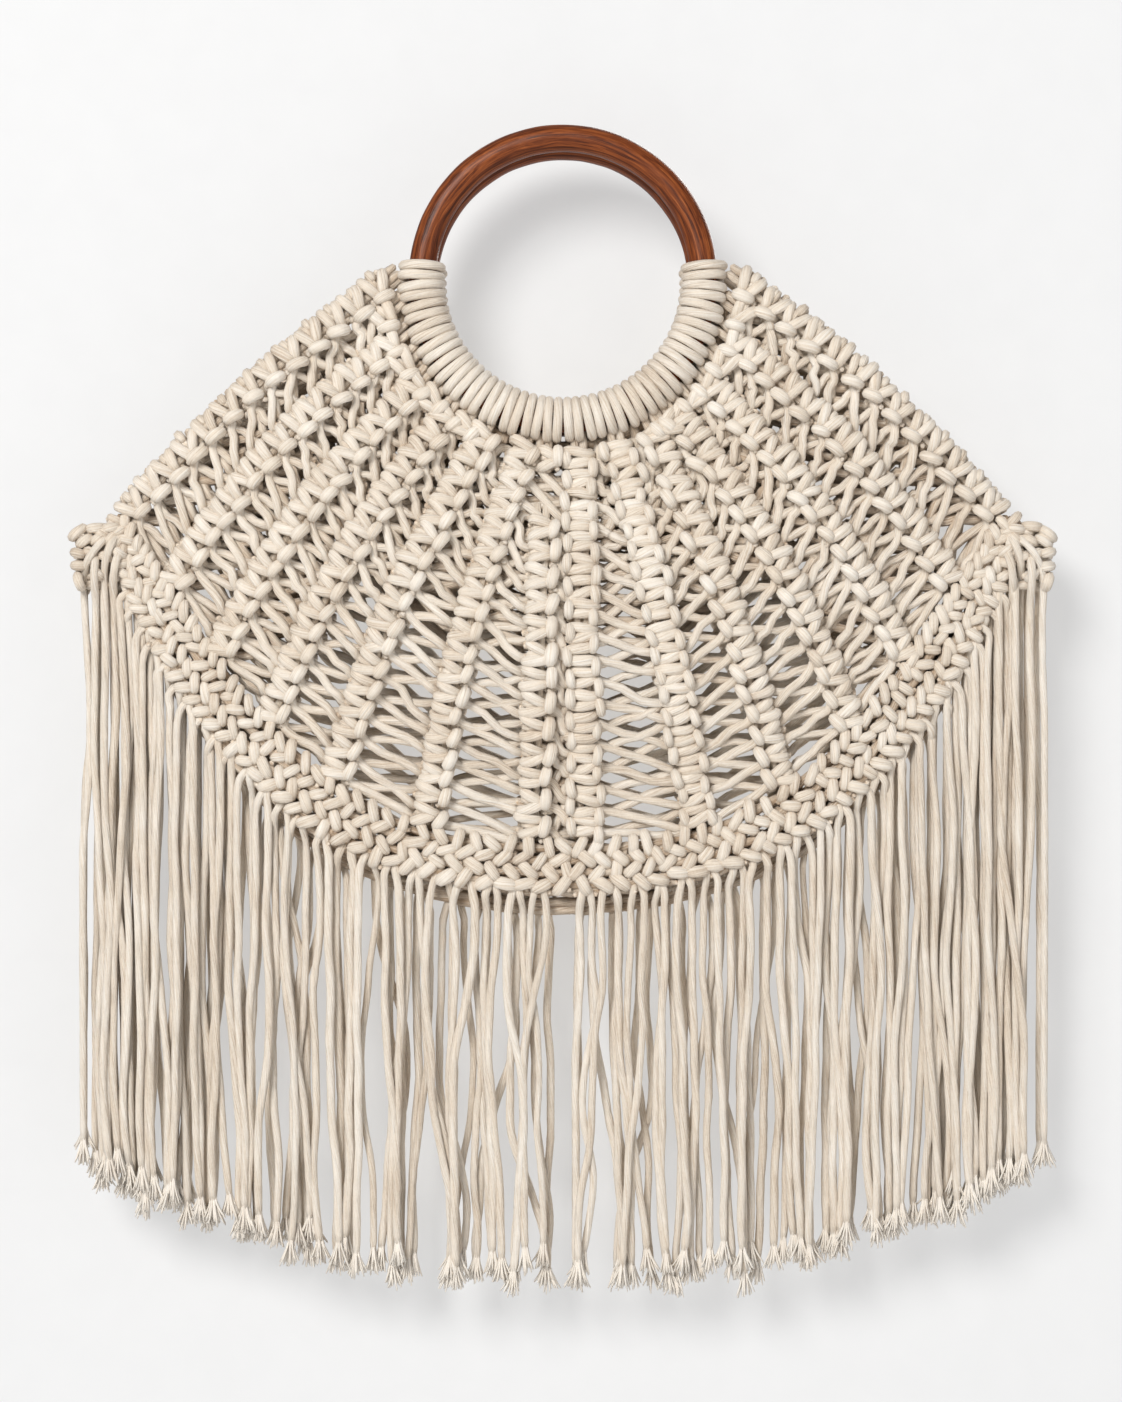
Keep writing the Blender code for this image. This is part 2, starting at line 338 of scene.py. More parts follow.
class Finish:
    """A material with its nodes."""

    def __init__(self, name):
        self.material = bpy.data.materials.new(name)
        self.material.use_nodes = True
        self.tree = self.material.node_tree
        self.tree.nodes.clear()

    def node(self, kind, settings=None, out=0, **sockets):
        """Makes a node, sets it up and feeds its sockets with values or taps."""
        node = self.tree.nodes.new(kind)
        for key, value in (settings or {}).items():
            setattr(node, key, value)
        for key, value in sockets.items():
            place = int(key[1:]) if key[0] == "_" else key.replace("_", " ")
            if isinstance(value, Tap):
                self.tree.links.new(value.socket, node.inputs[place])
            else:
                node.inputs[place].default_value = value
        return Tap(self, node.outputs[out]) if len(node.outputs) else node

    def sum(self, how, *values):
        return self.node(
            "ShaderNodeMath", {"operation": how}, **{f"_{i}": v for i, v in enumerate(values)}
        )

    def point(self, x, y, z):
        return self.node("ShaderNodeCombineXYZ", X=x, Y=y, Z=z)

    def noise(self, place, scale, detail=2.0, roughness=0.5):
        values = {"Vector": place, "Scale": scale, "Detail": detail, "Roughness": roughness}
        return self.node("ShaderNodeTexNoise", **values)

    def ramp(self, factor, *stops):
        """A colour for each value of the factor. Stops are (place, colour)."""
        tap = self.node("ShaderNodeValToRGB", Fac=factor)
        elements = tap.socket.node.color_ramp.elements
        while len(elements) < len(stops):
            elements.new(0.5)
        for element, (place, colour) in zip(elements, stops):
            element.position, element.color = place, (*colour, 1.0)
        return tap

    def shell(self, **sockets):
        shader = self.node("ShaderNodeBsdfPrincipled", **sockets)
        self.node("ShaderNodeOutputMaterial", Surface=shader)
        return self.material


# %% [markdown]
# ## Cotton cord
#
# The cord is soft, loosely twisted cotton, cream with warm tan where it lies in shade. Its fibres
# run along it with a faint twist. The UV map gives the way round (u) and along (v), so u is turned
# into a point on a circle, which has no seam, and noise is stretched along v into fibres. The tone
# of each cord also moves its colour: towards the tan as painted shade on cords that lie deep, and
# towards the light cream as painted light on raised loops and bars.

# %% Cotton


def cotton_finish(name, shade, body, light, relief, twist=0.13):
    finish = Finish(name)
    uv = finish.node("ShaderNodeUVMap", {"uv_map": "cord"})
    split = finish.node("ShaderNodeSeparateXYZ", Vector=uv).socket.node
    u, v = (Tap(finish, split.outputs[i]) for i in (0, 1))
    tone = finish.node("ShaderNodeAttribute", {"attribute_name": "tone"}, out=2)
    turn = (u + v * twist) * (2 * math.pi)
    round_x, round_y = turn.sum("COSINE"), turn.sum("SINE")
    fibres = finish.noise(finish.point(round_x * 4.6, round_y * 4.6, v * 0.55), 1.0, 3.0, 0.6)
    strands = finish.noise(finish.point(round_x * 1.1, round_y * 1.1, v * 0.9), 1.0, 1.0)
    place = finish.node("ShaderNodeTexCoord", out=3)
    fuzz = finish.noise(place, 900.0, 2.0, 0.7)
    patches = finish.noise(place, 38.0, 2.0)
    # The tone moves the colour with a random part and with painted shading: darker on cords that
    # lie deep, lighter on raised ones.
    colour = finish.ramp(
        (fibres - 0.5) * 1.15 + (patches - 0.5) * 0.45 + tone * 0.12 + (fuzz - 0.5) * 0.25 + 0.52,
        (0.10, shade),
        (0.48, body),
        (0.88, light),
    )
    height = fibres * 0.7 + strands * 0.45 + fuzz * 0.12
    bump = finish.node("ShaderNodeBump", Strength=relief, Distance=0.0013, Height=height)
    return finish.shell(
        Base_Color=colour,
        Roughness=fuzz * 0.15 + 0.8,
        Specular_IOR_Level=0.22,
        Sheen_Weight=0.22,
        Sheen_Roughness=0.5,
        Normal=bump,
    )


cotton = cotton_finish(
    "natural_cotton", (0.455, 0.332, 0.226), (0.762, 0.664, 0.548), (0.915, 0.862, 0.785), 0.9
)
# The frayed ends are a paler cream than the cord, as the real tufts are, and lighter still as
# painted light that offsets the shade between their fine threads.
frayed = cotton_finish(
    "frayed_cotton", (0.630, 0.525, 0.420), (0.855, 0.790, 0.705), (0.920, 0.880, 0.818), 0.3
)
print("finishes:", cotton.name, frayed.name)

# %% [markdown]
# ## Handles
#
# Each handle is a round rod of reddish brown wood, bent or turned into a ring and lacquered. It
# starts as a torus, fine enough for smooth highlights. A Displace modifier then moves its surface
# in and out by less than a fifth of a millimetre, as hand sanding does, so its shine is not too
# even. Its UV map runs round the ring and round the rod, so the grain can follow the ring.

# %% Wood
wood = Finish("lacquered_wood")
uv = wood.node("ShaderNodeUVMap", {"uv_map": "UVMap"})
split = wood.node("ShaderNodeSeparateXYZ", Vector=uv).socket.node
turn = Tap(wood, split.outputs[1]) * (2 * math.pi)
run = Tap(wood, split.outputs[0]) * 36
slow = wood.noise(wood.point(turn.sum("COSINE"), turn.sum("SINE"), run * 0.35), 1.0, 2.0)
grain_x = turn.sum("COSINE") * 5.0 + slow * 2.4
grain_y = turn.sum("SINE") * 5.0 + slow * 2.4
grain = wood.noise(wood.point(grain_x, grain_y, run * 0.22), 1.0, 4.0, 0.6)
pores = wood.noise(wood.point(grain_x * 3.6, grain_y * 3.6, run * 0.9), 1.0, 3.0, 0.65)
wood_colour = wood.ramp(
    grain * 0.75 + slow * 0.25 + (pores - 0.5) * 0.60,
    (0.30, (0.032, 0.008, 0.003)),
    (0.44, (0.110, 0.025, 0.007)),
    (0.57, (0.230, 0.058, 0.014)),
    (0.74, (0.400, 0.128, 0.036)),
)
wood_bump = wood.node("ShaderNodeBump", Strength=0.25, Distance=0.0003, Height=pores)
wood_finish = wood.shell(
    Base_Color=wood_colour,
    Roughness=grain * 0.15 + 0.29,
    Specular_IOR_Level=0.20,
    Normal=wood_bump,
)
print("finish:", wood_finish.name)

# %% [markdown]
# The two rings are made in the same way, one in front of the other. Each takes the place of its
# plain solid.

# %% Two rings
SANDING_DEPTH = 0.35 * MM
sanding = bpy.data.textures.new("sanding", "CLOUDS")
sanding.noise_scale, sanding.noise_depth = 0.012, 1


def new_handle(side):
    bpy.ops.object.select_all(action="DESELECT")
    bpy.ops.mesh.primitive_torus_add(
        major_radius=RING_RADIUS,
        minor_radius=ROD_RADIUS,
        major_segments=180,
        minor_segments=32,
        location=(0, side.sign * RING_Y, RING_CENTRE_Z),
        rotation=(math.radians(90), 0, 0),
    )
    bpy.ops.object.transform_apply(location=True, rotation=True)
    bpy.ops.object.shade_smooth()
    handle = bpy.context.object
    bpy.ops.object.modifier_add(type="DISPLACE")
    sanded = handle.modifiers[-1]
    sanded.texture, sanded.strength, sanded.mid_level = sanding, SANDING_DEPTH, 0.5
    bpy.ops.object.modifier_apply(modifier=sanded.name)
    handle.name = side.name + "_handle"
    handle.data.materials.append(wood_finish)
    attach(handle, "root")
    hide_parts(side.name + "_ring")
    return handle


handles = [new_handle(side) for side in (FRONT, BACK)]
print("handles:", [tuple(round(x, 3) for x in handle.dimensions) for handle in handles])


def hang(piece, *nodes):
    """Puts a cotton piece on the bag in place of its plain solids."""
    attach(piece, "root")
    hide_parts(*nodes)
    return piece


# %% [markdown]
# ## Loops round the handles
#
# The cords start as loops round the wood, two for each hitch. Each loop is a closed ring of cord
# about the rod. The two of a pair lean together at the outer side, where the ring is longer, and
# leave a narrow V to the next pair.

# %% Loops
LOOPS, WRAP_HALF_ANGLE, LOOP_CORD = 48, 97.0, 2.1 * MM


def new_loops(side):
    hank = Hank(side.seed)
    turn = np.linspace(0, 2 * math.pi, 21)[:-1] + math.pi
    k = np.arange(LOOPS)
    jitter = hank.chance.normal(0, 1, (4, LOOPS, 1))
    angle = WRAP_HALF_ANGLE * ((k + 0.5) * 2 / LOOPS - 1)
    outward = at(angle, 1.0) - at(0, 0)
    forward = np.stack((np.cos(np.radians(angle)), 0 * angle, np.sin(np.radians(angle))), -1)
    outer = np.maximum(np.cos(turn), 0)
    loop_radius = ROD_RADIUS + LOOP_CORD - 0.1 * MM
    away = np.cos(turn) * loop_radius + outer**2 * (0.7 + 0.35 * jitter[0]) * MM
    lean = np.where(k % 2, -1, 1)[:, None] * (0.42 * outer - 0.05) + 0.18 * jitter[1] * np.cos(turn)
    centre = at(angle, RING_RADIUS, side.sign * RING_Y)
    paths = (
        centre[:, None]
        + outward[:, None] * away[..., None]
        + forward[:, None] * (lean * MM + 0.1 * MM * jitter[2])[..., None]
        + np.array((0, 1, 0)) * (np.sin(turn) * loop_radius)[:, None]
    )
    radius = LOOP_CORD * (1 + 0.05 * np.cos(turn)) * (1 + 0.015 * jitter[3])
    hank.lay(paths, radius, sides=10, closed=True, tone=0.25)
    return hang(hank.piece(side.name + "_loops", cotton), side.name + "_wrap")


loops = [new_loops(side) for side in (FRONT, BACK)]

# %% [markdown]
# ## Square knots
#
# A square knot is two crossings of the working cords over two core cords. From the front it shows
# two bars that lie side by side, and one raised loop that holds them on the side where the cord
# comes back. Knot follows knot, so a column looks like a ladder with a row of loops down one side.
# In one lump it would show no shade between its cords, so each cord is given by a few marks, in
# millimetres: a runs down the column, b across it away from the loops, and n out of the cloth. A
# fill closes the V between the bars, a nub stands for the cord that slips through, and on the two
# outer columns one more lobe closes the edge of the bag.

# %% Marks of one knot
KNOT_LOOP = (
    (-1.9, -6.2, -2.0), (-2.5, -6.9, 1.6), (-1.9, -6.9, 4.2), (0.0, -6.4, 5.1),
    (1.9, -5.9, 4.2), (2.5, -5.6, 1.6), (1.9, -5.2, -2.0),
)
KNOT_BARS = (
    (
        (0.4, -6.0, -0.6), (-0.5, -4.4, 2.0), (-1.6, -1.9, 3.4), (-2.8, 0.8, 3.7),
        (-3.6, 2.9, 2.6), (-3.8, 3.6, -0.2), (-3.4, 2.4, -2.6),
    ),
    (
        (1.0, -6.2, -0.6), (1.5, -4.6, 2.2), (2.1, -2.0, 3.6), (2.8, 1.1, 3.7),
        (3.3, 3.4, 2.6), (3.4, 4.1, -0.2), (3.0, 2.6, -2.6),
    ),
)
KNOT_FILL = ((-0.4, -3.0, 0.4), (0.0, 0.2, 2.2), (0.1, 2.7, 1.4), (0.1, 3.4, -1.6))
KNOT_EDGE = ((-0.2, 1.0, 2.6), (-0.3, 3.1, 2.6), (-0.3, 4.6, 0.8), (-0.2, 4.8, -1.6))
KNOT_NUB = ((4.2, -5.2, -0.6), (4.8, -6.4, 1.6), (5.2, -7.2, 2.0))
KNOT_BACK = (
    ((-2.6, -5.6, -1.2), (-2.4, 0.0, -3.2), (-2.8, 5.4, -1.5)),
    ((2.4, -5.6, -1.2), (2.6, 0.0, -3.2), (2.2, 5.6, -1.5)),
)
# Where a column has loops on both sides, they take turns, and the bars lie between them
LADDER_LOOPS = (
    (
        (-2.2, -5.3, -1.6), (-2.7, -5.7, 1.2), (-2.1, -5.9, 4.0), (0.0, -6.0, 5.3),
        (2.1, -5.9, 4.0), (2.7, -5.6, 1.2), (2.2, -5.2, -1.6),
    ),
    (
        (2.6, 5.2, -1.6), (2.1, 5.6, 1.2), (2.7, 5.9, 4.0), (4.8, 6.0, 5.3),
        (6.9, 5.9, 4.0), (7.5, 5.6, 1.2), (7.0, 5.2, -1.6),
    ),
)
LADDER_BARS = (
    (
        (-2.2, -6.2, -0.8), (-2.7, -4.6, 1.9), (-2.6, -1.5, 3.3),
        (-2.1, 1.6, 3.4), (-2.0, 4.4, 2.0), (-2.4, 6.4, -0.8),
    ),
    (
        (2.0, -6.6, -0.8), (2.7, -4.6, 1.9), (2.7, -1.5, 3.3),
        (2.2, 1.6, 3.4), (2.0, 4.4, 2.0), (2.5, 6.2, -0.8),
    ),
)
print("cords in one knot:", 1 + len(KNOT_BARS) + len(KNOT_BACK))

# %% [markdown]
# A column runs through its raised loops, and its bars reach out to one side. Where the fan is
# narrow, neighbours have to share the room, so each column measures its distance to the next and
# draws its knots in. It knows where each knot sits and faces, and turns marks into points there.

# %% A column of knots
# Half the thickness of each cord, in mm
LOOP_THICK, BAR_THICK, CORE_THICK, CROSSING_THICK = 2.5, 2.3, 1.9, 1.9
# How far knots reach, in mm: with loops on both sides, on the side of the loops, and of the bars
LADDER_REACH, LOOP_REACH, BAR_REACH = 8.2, 2.5, 12.4
# The middle of a knot lies this far from the loops of its column, in mm
LOOP_SHIFT = 6.4
TIGHTEST = 0.7
# Columns that begin late squeeze in between their neighbours a little higher up
EARLY = {6: 0.18, 9: 0.0}


def reach(k, other):
    """How far the knots of column k reach towards another column."""
    loops_at = COLUMNS[k][5]
    if not loops_at:
        return LADDER_REACH * MM
    return (LOOP_REACH if loops_at == np.sign(other - k) else BAR_REACH) * MM


class Column:
    """Where each knot of a column sits, and which way it faces."""

    def __init__(self, side, k, begins=None):
        self.side, self.k = side, k
        self.begins, self.pitch, self.loops_at = COLUMNS[math.floor(k)][3:]
        self.begins = EARLY.get(k, self.begins) if begins is None else begins
        shares = np.linspace(self.begins, 1, 60)
        line = cloth(side, k, shares)
        length = np.append(0, np.cumsum(np.linalg.norm(np.diff(line, axis=0), axis=1)))
        self.length = length[-1]
        self.count = round((self.length - 2 * MM) / (self.pitch * MM))
        self.pitch = (self.length - 2 * MM) / self.count
        middles = 1.0 * MM + (np.arange(self.count) + 0.5) * self.pitch
        self.shares = np.interp(middles, length, shares)
        self.per_share = self.length / (1 - self.begins)
        self.shift = LOOP_SHIFT if self.loops_at else 0.0
        self.squeeze = np.ones((self.count, 1))
        for other in (k - 1, k + 1):
            if 0 <= other <= LAST and k == math.floor(k):
                gap = cloth(side, other, self.shares) - cloth(side, k, self.shares)
                room = np.linalg.norm(gap, axis=1) / (reach(k, other) + reach(other, k))
                room[self.shares < EARLY.get(other, 0.0) - 0.02] = 1.0
                self.squeeze = np.minimum(self.squeeze, np.maximum(room, TIGHTEST)[:, None])

    def keep(self, chosen):
        """Keeps only the chosen knots."""
        self.shares, self.squeeze = self.shares[chosen], self.squeeze[chosen]
        self.count = len(self.shares)
        return self

    def frames(self, shares):
        """Middle, down, across and face at each share."""
        side, k = self.side, self.k
        middle = cloth(side, k, shares)
        down = unit(cloth(side, k, shares + 0.01) - cloth(side, k, shares - 0.01))
        right, left = min(k + 0.3, LAST), max(k - 0.3, 0)
        across = unit(cloth(side, right, shares) - cloth(side, left, shares))
        face = unit(np.cross(down, across))
        face *= side.sign * np.sign(face[:, 1:2])
        across = unit(np.cross(face, down))
        away = -self.loops_at if self.loops_at else 1
        across *= away * np.sign(across[:, :1])
        return middle, down, across, face

    def place(self, marks, shares):
        """Puts marks in mm at each share. Marks are (marks, 3) or (shares, marks, 3)."""
        middle, down, across, face = self.frames(np.asarray(shares, float))
        marks = np.asarray(marks, float) * MM
        if marks.ndim == 2:
            marks = np.broadcast_to(marks, (len(middle), *marks.shape))
        return (
            middle[:, None]
            + down[:, None] * marks[..., :1]
            + across[:, None] * (marks[..., 1:2] + self.shift * MM)
            + face[:, None] * marks[..., 2:]
        )


columns = {side: [Column(side, k) for k in range(LAST + 1)] for side in (FRONT, BACK)}
print("knots in each column:", [column.count for column in columns[FRONT]])

# %% [markdown]
# Hand-tied knots are never alike, so each copy of the marks is stretched, turned and moved by
# chance. Between the columns, single knots start right at the handle, where the real bag has no
# gaps. Two core cords run down inside every column, and a rim cord lies behind the first knots.

# %% Tie the knots
# Places between two columns where one more knot starts at the handle
STARTERS = (0.5, 1.5, 2.5, 3.5, 6, 9.5, 10.5, 11.5, 12.5)


def varied(marks, chance, many, wander=0.38, stretch=0.07, turn=0.11):
    """Copies of a few marks, each a little different."""
    marks = np.broadcast_to(np.asarray(marks, float), (many, len(marks), 3)).copy()
    marks *= 1 + chance.normal(0, stretch, (many, 1, 1))
    angle = chance.normal(0, turn, (many, 1))
    a, b = marks[..., 0].copy(), marks[..., 1].copy()
    marks[..., 0] = a * np.cos(angle) - b * np.sin(angle)
    marks[..., 1] = a * np.sin(angle) + b * np.cos(angle)
    marks[..., :2] += chance.normal(0, wander, (many, 1, 2))
    marks[..., 2] += chance.normal(0, 0.25, (many, 1))
    return marks


def knot_column(hank, column):
    """All knots of one column."""
    many, shares, chance = column.count, column.shares, hank.chance
    size = column.pitch / MM / 10.0
    both = column.loops_at == 0

    def lay(marks, thick, sides, steps, tone):
        spots = varied(np.array(marks) * (size, 1.0, 1.0), chance, many)
        spots[..., 1] = (spots[..., 1] + column.shift) * column.squeeze - column.shift
        plump = 0.86 + 0.20 * np.sin(math.pi * np.linspace(0, 1, steps))
        radius = thick * MM * (1 + chance.normal(0, 0.04, (many, 1))) * plump
        hank.lay(through(column.place(spots, shares), steps), radius, sides, tone)

    sides = column.side.sides
    # The last number of each lay is its tone, painted shading: raised loops and bars lighter, the
    # cords behind and the cores darker.
    for marks in LADDER_LOOPS if both else (KNOT_LOOP,):
        lay(marks, LOOP_THICK * (0.84 if both else 1), sides, 11, 0.7)
    for marks in LADDER_BARS if both else KNOT_BARS:
        lay(marks, BAR_THICK * (1.05 if both else 1), sides, 10, 0.4)
    for marks in KNOT_BACK:
        lay(marks, BAR_THICK, 5, 5, -1.2)
    if not both and column.side is FRONT:
        lay(KNOT_FILL, 1.9, 6, 5, 0.0)
        lay(KNOT_NUB, 1.2, 5, 4, 0.0)
    if column.k in (0, LAST):
        lay(KNOT_EDGE, 2.1, 6, 7, 0.1)
    below = 0.5 * column.pitch / column.per_share
    line = np.linspace(min(column.begins, shares[0]) - 0.03, shares[-1] + below, 40)
    for b in (-2.0, 1.8):
        path = column.place(((0, b, -0.5),), line)[:, 0]
        hank.lay(path[None], CORE_THICK * MM, 6, -0.8)


def new_knots(side, columns):
    hank = Hank(side.seed + 1)
    for column in columns:
        knot_column(hank, column)
    for k in STARTERS:
        knot_column(hank, Column(side, k, 0.0).keep(slice(0, 1)))
    rim = at(np.linspace(-86, 86, 60), NET_START + 0.2 * MM, side.sign * 4.5 * MM)
    # The rim cord's very low tone is painted shade behind the first knots.
    hank.lay(rim[None], 2.3 * MM, 6, -2.6)
    return hang(hank.piece(side.name + "_knots", cotton), side.name + "_net")


knots = [new_knots(side, columns[side]) for side in (FRONT, BACK)]

# %% [markdown]
# ## Cords that cross from column to column
#
# Between two columns the working cords change sides. One leaves from under each raised loop and
# drops to a bar of the next column, a little more than one knot lower, in a soft S. Another rises
# behind it, and two more lie deeper and fill the narrow part of the fan. The further a column
# stands from the middle, the steeper its cords are. Lower down, where the fan opens, they are long
# and leave the gaps through which the back shows. Above a column that begins late, its two
# neighbours are joined to each other.

# %% Crossing cords
# Cords that lie deeper than this, in mm, stop where the fan is open
DEEP = -4


def crossings(hank, outer, inner):
    """The cords between two neighbouring columns. The loops of the outer one face the inner one."""
    chance = hank.chance
    toward = -1 if outer.loops_at else np.sign(inner.k - outer.k)
    back = 1 if inner.loops_at else np.sign(outer.k - inner.k)
    first = max(outer.begins, inner.begins) - 0.03
    starts = outer.shares[outer.shares > first]
    line = np.linspace(-0.2, 1.15, 400)
    middle, down = outer.frames(starts)[:2]
    along = np.einsum("ij,ikj->ik", down, cloth(outer.side, inner.k, line)[None] - middle[:, None])
    level = line[np.argmin(np.abs(along), axis=1)]
    steep = min(abs((outer.k + inner.k) / 2 - 6.8) / 4, 1)
    high = 0.50 if steep < 0.85 and (outer.k, inner.k) != (6, 7) else 1.0
    slack = 0.2 + 0.8 * steep
    # knots lower that it lands, where it leaves and lands, bend, depth in mm, thickness, and look:
    # the tone, painted shade that darkens the deeper cords, then the sides and steps of the tube
    for lower, leave_a, land_a, bend, n, thick, tone, sides, steps in (
        (1.05 + 0.2 * steep, 1.8, -0.6, 2.4 * slack, 0.3 * steep - 0.4, 1.04, 0.4, 7, 15),
        (-0.85 + 0.7 * steep, 5.0, 1.4, -0.6 * slack, -1.9, 1.0, 0.0, 7, 12),
        (0.10 + 0.4 * steep, 3.4, 3.6, 0.8 * slack, -4.1, 1.2, -1.0, 5, 8),
        (-0.60 - 0.6 * steep, 0.4, 0.6, 0.8 * slack, -5.2, 1.3, -1.6, 5, 8),
    ):
        ends = level + lower * outer.pitch / inner.per_share + chance.normal(0, 0.009, len(starts))
        landing = (ends > inner.begins - 0.06) | (ends > first + 0.02)
        if n < DEEP:
            landing &= starts < high
        ends = np.clip(ends[landing], inner.begins - 0.02, 1.02)
        many = len(ends)
        leave = (
            (leave_a, 4.6, -1.0),
            (leave_a + bend * 0.5, 7.0, n * 0.6),
            (leave_a + bend * 1.6, 9.0, n),
        )
        land = (
            (land_a - bend * 1.4, 8.6, n * 0.9),
            (land_a - bend * 0.4, 6.4, n - 1.4),
            (land_a, 4.0, -2.6),
        )
        leave = np.array(leave) * (1, toward, 1)
        land = np.array(land) * (1, back, 1)
        leave, land = outer.place(leave, starts[landing]), inner.place(land, ends)
        wiggle = chance.normal(0, 0.6, (many, 2, 3)) * MM
        between = land[:, :1] - leave[:, -1:]
        centre = leave[:, -1:] + between * np.array((0.34, 0.7))[:, None] + wiggle
        paths = through(np.concatenate((leave, centre, land), 1), steps)
        radius = CROSSING_THICK * thick * MM * (1 + chance.normal(0, 0.05, (many, 1)))
        hank.lay(paths, radius, sides, tone)


def new_crossings(side, columns):
    hank = Hank(side.seed + 2)
    for k in range(LAST):
        outer, inner = (k, k + 1) if k < 8 else (k + 1, k)
        crossings(hank, columns[outer], columns[inner])
    above = [Column(side, k) for k in (5, 7)]
    above = [column.keep(column.shares < columns[6].begins) for column in above]
    crossings(hank, *above)
    return hang(hank.piece(side.name + "_crossing_cords", cotton), side.name + "_net")


crossing_cords = [new_crossings(side, columns[side]) for side in (FRONT, BACK)]

# %% [markdown]
# ## The plaited band
#
# Rows of diagonal hitches gather all the cords at the lower edge. They show as four rows of short
# fat lobes that lean one way and the other by turns, like a plait, and the pattern turns round at
# the middle of the bag. Near the corners the band is narrow, so each row is given twice, for the
# middle of the bag and for a corner, and each place takes a blend of the two. Core cords run
# through the band below the lobes, and small ends of cord fill the hollows between.

# %% Measures of the band
BAND_ROWS = (
    # share of the width, mm along, mm outward and half thickness: at the middle, then at a corner
    ((0.85, 2.3, 1.9, 2.65), (0.88, 1.8, 2.1, 2.2)),
    ((0.60, -2.1, 2.1, 2.45), (0.62, -2.1, 1.6, 2.1)),
    ((0.35, 2.0, 2.2, 2.4), (0.36, 1.7, 2.0, 2.1)),
    ((0.09, -1.2, 3.0, 2.35), (0.10, -1.9, 1.6, 2.1)),
)
BAR_SHARES = np.array((-0.85, -1.05, -0.8, 0.0, 0.8, 1.05, 0.85))
BAR_ARCH = (-1.6, 1.2, 3.0, 3.6, 3.0, 1.2, -1.6)
BAND_SHIFT = (0.0, 2.4, -1.6, 1.5)
# share of the width and mm along of the small ends, and share and mm out of the cloth of the cores
BAND_NUBS = ((0.76, 3.6), (0.5, -3.4), (0.2, 3.8), (0.97, 2.6))
BAND_CORES = (
    (0.12, -0.6), (0.36, -1.6), (0.36, 0.8), (0.62, -1.6),
    (0.62, 0.8), (0.84, -1.8), (0.84, 0.6), (0.99, -0.9),
)
# in degrees, then in metres from the centre of the handles
BAND_END, BAND_ARC = 62.0, 0.262


def band_frames(side, angle):
    """Inner point, outward step over the whole width, and the way along, at each angle."""
    inner = at(angle, outline(side, angle, 1) + 0.0011, side.sign * SEAM_Y)
    outer = at(angle, outline(side, angle, 2), side.sign * SEAM_Y)
    after, before = angle + 0.5, angle - 0.5
    ahead = at(after, outline(side, after, 2)) - at(before, outline(side, before, 2))
    return inner, outer - inner, unit(ahead)


def band_angles(start):
    """Angles of the units of one half, closer together towards the corner."""
    angles, angle = [], -start
    while angle > -BAND_END:
        angles.append(angle)
        pitch = 6.0 + 2.3 * math.cos(math.radians(angle * 1.5))
        angle -= math.degrees(pitch * MM / BAND_ARC)
    return np.array(angles)


print("lobes in half a row:", len(band_angles(1.0)))

# %% Band


def new_band(side):
    hank = Hank(side.seed + 3)
    chance = hank.chance
    out_of_cloth = np.array((0, side.sign * MM, 0))
    for half in (1, -1):
        angles = band_angles(1.0 - 0.85 * half) * half
        many = len(angles)
        inner, width, ahead = band_frames(side, angles)
        ahead = ahead * half
        corner = np.clip(np.abs(angles) / 52, 0, 1)[:, None] ** 1.5
        for (at_middle, at_corner), shift in zip(BAND_ROWS, BAND_SHIFT):
            row = np.array(at_middle) * (1 - corner) + np.array(at_corner) * corner
            share, along, outward, thick = (row[:, i : i + 1] for i in range(4))
            lean = np.arctan2(outward, along) + chance.normal(0, 0.28, (many, 1))
            size = np.hypot(along, outward) * (1.0 + chance.normal(0, 0.12, (many, 1))) * BAR_SHARES
            a = size * np.cos(lean) + shift + chance.normal(0, 0.6, (many, 1))
            b = -size * np.sin(lean) + chance.normal(0, 0.6, (many, 1))
            arch = np.array(BAR_ARCH) + chance.normal(0, 0.5, (many, 1))
            paths = (
                (inner + width * share)[:, None]
                + ahead[:, None] * a[..., None] * MM
                + unit(width)[:, None] * b[..., None] * MM
                + out_of_cloth * arch[..., None]
            )
            plump = 0.88 + 0.17 * np.sin(math.pi * np.linspace(0, 1, 10))
            radius = thick * MM * (1 + chance.normal(0, 0.06, (many, 1))) * plump
            hank.lay(through(paths, 10), radius, side.sides, 0.2)
        # The small ends get a low tone, painted shade in the hollows between the lobes.
        for share, along in BAND_NUBS:
            spots = chance.normal((along, share), (0.5, 0.03), (many, 2))
            foot = inner + ahead * spots[:, :1] * MM + width * spots[:, 1:]
            tilt = chance.normal(0, 0.9, (many, 3)) * MM
            rise = ((0, -1.0), (0.6, 0.2), (1, 1.3))
            nub = np.stack([foot + tilt * f + out_of_cloth * n for f, n in rise], 1)
            hank.lay(through(nub, 4), 1.4 * MM, 5, -1.4)
    whole = np.linspace(-BAND_END, BAND_END, 90)
    inner, width, _ = band_frames(side, whole)
    # The cores get a low tone, painted shade where they run below the lobes.
    for share, n in BAND_CORES:
        wander = chance.normal(0, 0.35, (len(whole), 3)) * MM
        path = inner + width * share + out_of_cloth * (n - 0.5) + wander
        hank.lay(path[None], 2.1 * MM, 6, -2.4)
    return hang(hank.piece(side.name + "_band", cotton), side.name + "_border")


bands = [new_band(side) for side in (FRONT, BACK)]

# %% [markdown]
# ## Corners
#
# At each side the ends of the front and the back band are tied together. The cords wrap round
# from front to back, one above the other, and give the bag its small square ears. Short bars lie
# over the wrapped cords, front and back.

